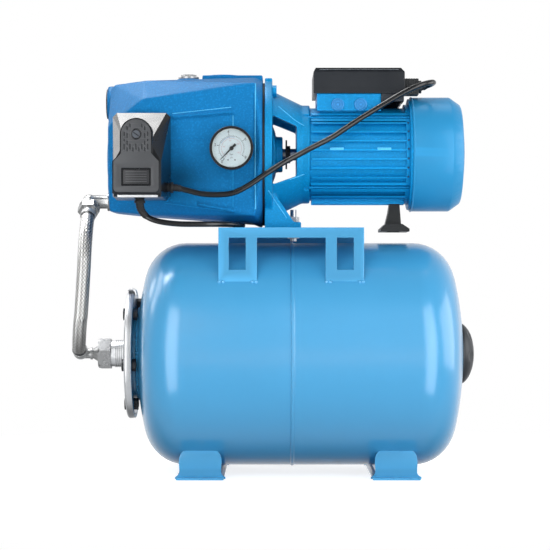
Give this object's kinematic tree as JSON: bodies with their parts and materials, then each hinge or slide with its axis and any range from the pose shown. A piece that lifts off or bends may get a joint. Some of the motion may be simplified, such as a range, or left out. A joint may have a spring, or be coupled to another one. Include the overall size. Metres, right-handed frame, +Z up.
{
  "type": "booster pump set",
  "caption": "Jet pump with motor on a horizontal pressure tank, with pressure switch, gauge, braided hose and cables.",
  "frame": {"origin": "middle of the four floor holes in the feet, on the floor plane", "axes": "+X along the shaft toward the motor's fan end, +Y away from the gauge side, +Z up"},
  "size_m": [0.506, 0.32, 0.507],
  "materials": {
    "tank_blue": "satin gloss",
    "casing_blue": "satin over sand-cast iron",
    "motor_blue": "satin",
    "fan_cover_blue": "satin",
    "plug_blue": "satin",
    "galvanised": "zinc plated",
    "steel": "bright",
    "dark_steel": "dark zinc",
    "brass": "machined",
    "copper": "varnished windings",
    "braid": "woven stainless wire",
    "black_rubber": "matt",
    "black_plastic": "fine texture",
    "black_gloss": "semi gloss",
    "white_enamel": "enamel",
    "cream_plastic": "satin",
    "bakelite": "moulded",
    "ceramic": "lapped",
    "clear": "clear"
  },
  "bodies": {
    "base": {"tank_shell_left": "tank_blue", "tank_shell_right": "tank_blue", "left_foot": "tank_blue", "right_foot": "tank_blue", "pump_bracket": "tank_blue", "tank_bladder": "black_rubber", "tank_flange": "galvanised", "flange_fasteners": "steel", "air_valve_body": "brass", "tank_nipple": "galvanised", "union_nut": "steel", "hose_tail": "steel", "braided_hose": "braid", "hose_ferrules": "steel", "hose_upper_nut": "steel", "outlet_elbow": "galvanised", "pump_casing": "casing_blue", "suction_seal": "black_rubber", "priming_plug": "galvanised", "ejector": "black_plastic", "diffuser": "black_plastic", "casing_gasket": "black_rubber", "lantern_bracket": "casing_blue", "casing_bolts": "dark_steel", "foot_bolt": "steel", "seal_seat": "ceramic", "shaft_bearings": "steel", "motor_housing": "motor_blue", "wound_stator": "copper", "rear_end_shield": "motor_blue", "tie_rods": "steel", "fan_cover": "fan_cover_blue", "terminal_box": "motor_blue", "terminal_box_lid": "black_plastic", "capacitor": "cream_plastic", "box_plugs": "plug_blue", "motor_cable_gland": "black_plastic", "motor_foot": "black_plastic", "gauge_case": "black_gloss", "gauge_dial": "white_enamel", "gauge_lens": "clear", "switch_base": "dark_steel", "switch_cover": "black_gloss", "cover_screw": "dark_steel", "switch_contacts": "bakelite", "switch_glands": "black_rubber", "link_cable": "black_rubber", "mains_cable": "black_rubber", "mains_coil": "black_rubber", "mains_plug": "black_plastic"},
    "rotor": {"pump_shaft": "steel", "impeller": "brass", "seal_head": "dark_steel", "slinger": "black_rubber", "rotor_core": "steel", "cooling_fan": "black_plastic"},
    "gauge_pointer": {"gauge_pointer": "black_gloss"},
    "valve_pin": {"air_valve_pin": "brass"},
    "valve_cap": {"air_valve_cap": "black_plastic"},
    "pressure_lever": {"switch_lever": "steel"}
  },
  "joints": [
    {"name": "rotor_spin", "type": "hinge", "parent": "base", "child": "rotor", "pos_m": [0, 0, 0.402], "axis": [1, 0, 0], "continuous": true},
    {"name": "pointer_turn", "type": "hinge", "parent": "base", "child": "gauge_pointer", "pos_m": [-0.081, -0.0965, 0.403], "axis": [0, 1, 0], "range_deg": [0, 270]},
    {"name": "valve_pin_press", "type": "slide", "parent": "base", "child": "valve_pin", "axis": [-1, 0, 0], "range_m": [0, 0.0015], "stiffness_N_per_m": 150, "springref_m": -0.002},
    {"name": "valve_cap_pull", "type": "slide", "parent": "base", "child": "valve_cap", "axis": [1, 0, 0], "range_m": [0, 0.03]},
    {"name": "pressure_lever_lift", "type": "hinge", "parent": "base", "child": "pressure_lever", "pos_m": [-0.19, -0.101, 0.395], "axis": [-1, 0, 0], "range_deg": [0, 4], "stiffness_Nm_per_rad": 0.5, "springref_deg": -2.86}
  ]
}
